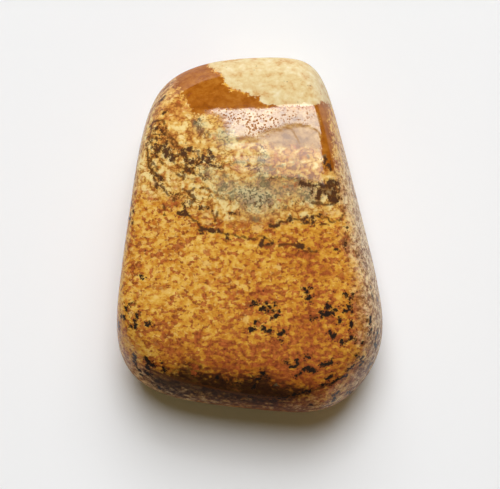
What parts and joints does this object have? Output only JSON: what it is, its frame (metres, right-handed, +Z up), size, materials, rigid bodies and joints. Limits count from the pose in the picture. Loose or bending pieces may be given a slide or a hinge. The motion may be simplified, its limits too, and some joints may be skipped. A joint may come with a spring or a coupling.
{
  "type": "picture jasper",
  "caption": "Tumbled and polished picture jasper, a flattish trapezoid stone with soft worn facets, lying on its flat underside.",
  "frame": {"origin": "on the surface that the stone rests on, below the middle of its bounding box", "axes": "+Z up, +Y along the stone's length towards its narrow cream end, +X across its width"},
  "size_m": [0.0262, 0.035, 0.0129],
  "materials": {
    "polished_jasper": "high tumbled polish, opaque, banded and speckled in golden brown, cream, rust and black"
  },
  "bodies": {
    "root": {"picture_jasper": "polished_jasper"}
  },
  "joints": []
}
